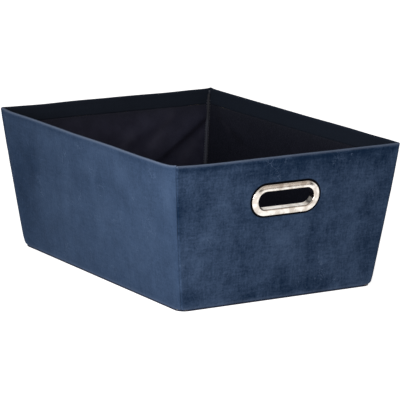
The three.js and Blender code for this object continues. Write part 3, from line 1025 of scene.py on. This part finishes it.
def corner_tape(name, side_x, side_y):
    """The seam allowance of one inside corner, bound in folded tape and stitched."""
    low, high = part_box(f"{name}_corner_binding")[0].z, CORNER_TAPE_TOP
    inward = np.array([-side_x, -side_y, 0]) / math.sqrt(2)
    along = np.array([-inward[1], inward[0], 0])
    outer_line, inner_line = folded_section(CORNER_TAPE_DEPTH, CORNER_TAPE_WIDTH)
    level = LINER_IN / math.cos(LEAN)

    def line(points, z):
        corner = inside_corner(side_x, side_y, z, level)
        sway = 0.5 * MM * noise.noise(Vector((z / (26 * MM), side_x * 3.1, side_y * 5.7)))
        lengthen = 0.35 * MM * noise.noise(Vector((z / (11 * MM), side_x * 7.9, side_y * 2.3)))
        near_top = smooth((z - 116 * MM) / (24 * MM))
        bulge = 1 + CORNER_TAPE_BULGE * smooth((z - 50 * MM) / (20 * MM)) * (1 - near_top)
        made = []
        for reach, offset in points:
            share = reach / CORNER_TAPE_DEPTH
            depth = reach * (1 - CORNER_TAPE_NARROWING * near_top) + lengthen * share
            made.append(corner + inward * (CORNER_TAPE_START + depth)
                        + along * (offset * bulge + sway * share))
        return made

    heights = np.linspace(low, high, 60)
    outer = np.array([line(outer_line, z) for z in heights])
    inner = np.array([line(inner_line, z) for z in heights])
    piece = shell(f"{name}_seam_tape", outer, inner, tape)
    stitches = []
    for k in range(int((high - low) / CORNER_STITCH_PITCH - 2)):
        z = low + CORNER_STITCH_PITCH * (k + 1)
        for way in (-1, 1):
            spot = [(CORNER_TAPE_DEPTH * 0.62, way * CORNER_TAPE_WIDTH / 2)]
            start, end = line(spot, z)[0], line(spot, z + CORNER_STITCH)[0]
            stitches.append((start, end, along * way, THREAD_RADIUS))
    return add_stitches(piece, stitches)


def rounded_loop(inset, radius, z):
    """A rounded rectangle at a height, inset from the bin's face there."""
    return rectangle_loop(FOOT_X + SPREAD * z - inset, FOOT_Y + SPREAD * z - inset, radius, z)


def rectangle_loop(half_x, half_y, radius, z, per_corner=8, per_side=22):
    """A level rounded rectangle's points, anticlockwise seen from above."""
    arcs = []
    for k, way in enumerate(LOOP_CORNERS):
        angles = np.linspace(k, k + 1, per_corner + 1) * math.pi / 2
        centre = np.array(way) * (half_x - radius, half_y - radius)
        arcs.append(centre + radius * np.stack([np.cos(angles), np.sin(angles)], axis=1))
    points = []
    for turned, following in zip(arcs, arcs[1:] + arcs[:1]):
        points += list(turned)
        points += [lerp(turned[-1], following[0], share) for share in np.linspace(0, 1, per_side + 2)[1:-1]]
    return np.array([(*point, z) for point in points])


def foot_tape():
    """The tape folded over the foot's seam allowance, all round inside."""
    low, high = (corner.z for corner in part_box("foot_seam_binding"))
    middle = (BINDING_OUT + BINDING_IN) / 2

    def loops(line):
        return np.array([rounded_loop((middle - offset) / math.cos(LEAN), 4 * MM + offset, low + reach)
                         for reach, offset in line])

    outer, inner = map(loops, folded_section(high - low, BINDING_IN - BINDING_OUT))
    ripple = 0.3 * MM * field(outer, 22 * MM, 3)
    share = np.clip((outer[..., 2] - low) / (high - low), 0, 1)
    for grid in (outer, inner):
        grid[..., 2] += ripple * share * 0.6
    piece = shell("foot_seam_tape", outer, inner, tape, around=True)
    z = low + (high - low) * 0.6
    loop = rounded_loop((BINDING_IN + 0.02 * MM) / math.cos(LEAN), 3.2 * MM, z)
    following = np.roll(loop, -1, axis=0)
    steps = np.linalg.norm(following - loop, axis=1)
    ends = np.concatenate([[0], np.cumsum(steps)])

    def at(distance):
        k = min(int(np.searchsorted(ends, distance, side="right")) - 1, len(steps) - 1)
        way = (following[k] - loop[k]) / steps[k]
        return loop[k] + way * (distance - ends[k]), way

    stitches = []
    for distance in np.arange(0, ends[-1] - FOOT_STITCH_PITCH, FOOT_STITCH_PITCH):
        start, way = at(distance)
        end, _ = at(distance + FOOT_STITCH)
        stitches.append((start, end, np.cross([0, 0, 1], way), THREAD_RADIUS))
    return add_stitches(piece, stitches)


# ---- Base and insert ----

def disc_grid(loop, shares):
    """Rings of a loop shrunk towards its middle, from the edge inwards."""
    middle = np.array([0, 0, loop[0][2]])
    return np.array([middle + (loop - middle) * share for share in shares])


INSERT_CLOTH = 0.6 * MM
INSERT_FOLD = 1.5 * MM  # radius of the cloth's fold over the insert's edge
INSERT_CORNER = 10 * MM
RING_SHARES = np.concatenate([np.linspace(1, 0.94, 6), np.linspace(0.94, 0.02, 36)[1:]])


def flat_cloth(name, node, radius, seed, ripple, wider=0.0):
    """A flat sheet where a node lies, with a faint ripple."""
    low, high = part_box(node)
    loop = rectangle_loop(high.x + wider, high.y + wider, radius, high.z)
    upper = disc_grid(loop, RING_SHARES)
    lower = upper.copy()
    lower[..., 2] = low.z
    wave = ripple * (0.5 + 0.5 * field(upper, 40 * MM, seed)) * (1 - RING_SHARES[:, None] ** 8)
    upper[..., 2] += wave - ripple
    lower[..., 2] += np.maximum(wave - ripple * 0.5, 0)
    return shell(name, upper, lower, lining, around=True, capped=True)


def insert_cover():
    """The cloth drawn over the insert's board and down its edge."""
    low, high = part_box("insert_top_cloth")

    def skin(offset):
        made = [rectangle_loop(high.x - offset, high.y - offset, INSERT_CORNER - offset, z)
                for z in np.linspace(low.z, high.z - INSERT_FOLD, 3)]
        for angle in np.linspace(0, math.pi / 2, 6)[1:]:
            back = INSERT_FOLD - (INSERT_FOLD - offset) * math.cos(angle)
            z = high.z - INSERT_FOLD + (INSERT_FOLD - offset) * math.sin(angle)
            made.append(rectangle_loop(high.x - back, high.y - back, INSERT_CORNER - back, z))
        return np.array(made + list(disc_grid(made[-1], RING_SHARES[1:])))

    outer, inner = skin(0.0), skin(INSERT_CLOTH)
    flatness = np.clip((high.z - INSERT_FOLD * 0.2 - outer[..., 2]) / INSERT_FOLD, 0, 1)
    wave = 0.22 * MM * (field(outer, 34 * MM, 12) - 1) * 0.5 * (1 - flatness)
    for grid in (outer, inner):
        grid[..., 2] += wave
    return shell("insert_cloth", outer, inner, lining, around=True, capped=True)


# ---- Corner knots: a few stitches that close each corner seam at the rim ----

def corner_knots(name, side_x, side_y):
    """Short bars of thread across the seam, just inside the rim."""
    stitches = []
    outward = np.array([side_x, side_y, 0]) / math.sqrt(2)
    across = np.array([-outward[1], outward[0], 0])
    for k, below in enumerate((2.4, 3.9, 5.4)):
        z = HEIGHT - below * MM
        spot = inside_corner(side_x, side_y, z, FACING_IN) - outward * 0.9 * MM
        half = across * (1.7 - 0.25 * k) * MM
        slant = np.array([0, 0, (0.5 - 0.4 * k) * MM])
        stitches.append((spot - half - slant, spot + half + slant, -outward, 0.32 * MM))
    return threads(f"{name}_rim_stitches", stitches)


# ---- Camera and studio ----

FLOOR_REACH = 12
FLOOR_BELOW = 0.4 * MM  # under the bin's base cloth, which is faintly rippled


def add_camera():
    """The camera looks down a little at the bin's near corner, through a long lens."""
    azimuth, elevation, roll = math.radians(-30.917), math.radians(12.11), math.radians(0.4526)
    distance = 18.1964 * HEIGHT
    aim_right, aim_up = 0.0473 * HEIGHT, -0.0361 * HEIGHT
    back = Vector((math.sin(azimuth) * math.cos(elevation),
                   -math.cos(azimuth) * math.cos(elevation), math.sin(elevation)))
    right = Vector((math.cos(azimuth), math.sin(azimuth), 0))
    up = back.cross(right)
    turned_right = right * math.cos(roll) + up * math.sin(roll)
    turned_up = up * math.cos(roll) - right * math.sin(roll)
    camera = bpy.data.objects.new("camera", bpy.data.cameras.new("camera"))
    link(camera)
    camera.data.sensor_width = 36
    camera.data.lens = 233.96
    camera.data.clip_end = 30
    place = Vector((0, 0, HEIGHT / 2)) + turned_right * aim_right + turned_up * aim_up + back * distance
    turn = Matrix((turned_right, turned_up, back)).transposed().to_4x4()
    camera.matrix_world = Matrix.Translation(place) @ turn
    bpy.context.scene.camera = camera


def add_softbox(name, place, aim, size, energy):
    light = bpy.data.lights.new(name, "AREA")
    light.shape = "RECTANGLE"
    light.size, light.size_y = size
    light.energy = energy
    lamp = link(bpy.data.objects.new(name, light))
    lamp.location = place
    lamp.rotation_euler = (Vector(aim) - Vector(place)).to_track_quat("-Z", "Y").to_euler()


def add_studio():
    """A pale floor in a soft white room, with a softbox near the bin's near corner."""
    scene = bpy.context.scene
    scene.view_settings.view_transform = "Standard"
    scene.world = bpy.data.worlds.new("white_room")
    scene.world.use_nodes = True
    w = Nodes(scene.world.node_tree, "Generated")

    def towards(direction, low, high, to_low, to_high):
        """A value that changes as a ray turns towards a direction."""
        dot = w.node("VectorMath", "Value", {0: w.place, 1: Vector(direction).normalized()},
                     operation="DOT_PRODUCT")
        return w.spread(dot, low, high, to_low, to_high, "LINEAR")

    room = towards((-0.72, -0.62, 0.20), -0.15, 1.0, 0.10, 0.97)
    behind = towards((0.50, 0.75, 0.43), 0.78, 0.95, 0.0, 0.85)
    streak = towards((0.46, -0.82, 0.34), 0.90, 0.97, 0.0, 0.45)
    dark_side = towards((0.50, -0.86, 0.05), 0.30, 0.60, 0.0, 1.0)
    skirting = w.times(dark_side, towards((0, 0, 1), 0.06, 0.10, 1.0, 0.0))
    glow = w.plus(w.times(room, w.minus(1.0, w.times(skirting, 0.85))), behind)
    background = w.tree.nodes["Background"].inputs
    w.feed(background["Strength"], w.plus(glow, streak))
    w.feed(background["Color"], w.mix(dark_side, (1, 1, 1), (1, 0.90, 0.82)))

    s = Shader("pale_floor", (0.93, 0.93, 0.93), Roughness=0.9, Specular_IOR_Level=0.1,
               Emission_Color=(1, 1, 1, 1), Emission_Strength=0.75)
    s.color(s.mix(s.noise(60, 3.0, 0.5), (0.90, 0.90, 0.90), (0.92, 0.92, 0.92)))
    corners = [(x * FLOOR_REACH, y * FLOOR_REACH, -FLOOR_BELOW) for x, y in LOOP_CORNERS]
    floor = make_object("floor", corners, [[0, 1, 2, 3]], s.material)
    add_softbox("key_softbox", (-0.62, -0.42, 0.24), (-0.13, -0.14, 0.08), (0.34, 0.30), 4.2)


# ---- Assembly ----

def ride(piece, body, slot, *nodes):
    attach(piece, body)
    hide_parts(*nodes)
    return piece


def add_walls():
    cutter = hand_hole_cutter()
    for side in TURNS:
        velvet_piece = cover(side)
        liner_piece = liner(side)
        if side == "front":
            cut(velvet_piece, cutter)
            cut(liner_piece, cutter)
        ride(velvet_piece, "bin", "velvet", f"{side}_cover")
        ride(liner_piece, "bin", "lining", f"{side}_liner")
    bpy.data.objects.remove(cutter)


def add_tapes():
    for name, side_x, side_y in (("front_left", -1, -1), ("front_right", 1, -1),
                                 ("back_right", 1, 1), ("back_left", -1, 1)):
        piece = corner_tape(name, side_x, side_y)
        ride(piece, "bin", "binding_tape", f"{name}_corner_binding")
        if side_y > 0:
            knots = corner_knots(name, side_x, side_y)
            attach(knots, "bin")
    piece = foot_tape()
    ride(piece, "bin", "binding_tape", "foot_seam_binding")


def add_base():
    base = flat_cloth("bin_base", "base_cloth", 11 * MM, 21, 0.1 * MM, BOARD_OUT - 0.5 * MM)
    ride(base, "bin", "lining", "base_cloth")
    low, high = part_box("insert_top_cloth")
    top = insert_cover()
    ride(top, "base_insert", "lining", "insert_top_cloth")
    bottom = flat_cloth("insert_underside", "insert_bottom_cloth", INSERT_CORNER, 22, 0.15 * MM)
    ride(bottom, "base_insert", "lining", "insert_bottom_cloth")


def add_metal():
    ride(grommet(), "bin", "nickel", "front_grommet")
    ride(grommet_backplate(), "bin", "nickel", "front_grommet_backplate")


def dress_boards():
    """The boards keep their CAD shape and take the chipboard's finish."""
    for name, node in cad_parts.items():
        if name.endswith("_board"):
            node.data.materials.clear()
            node.data.materials.append(chipboard)


add_camera()
add_studio()
add_base()
add_walls()
add_tapes()
add_metal()
dress_boards()
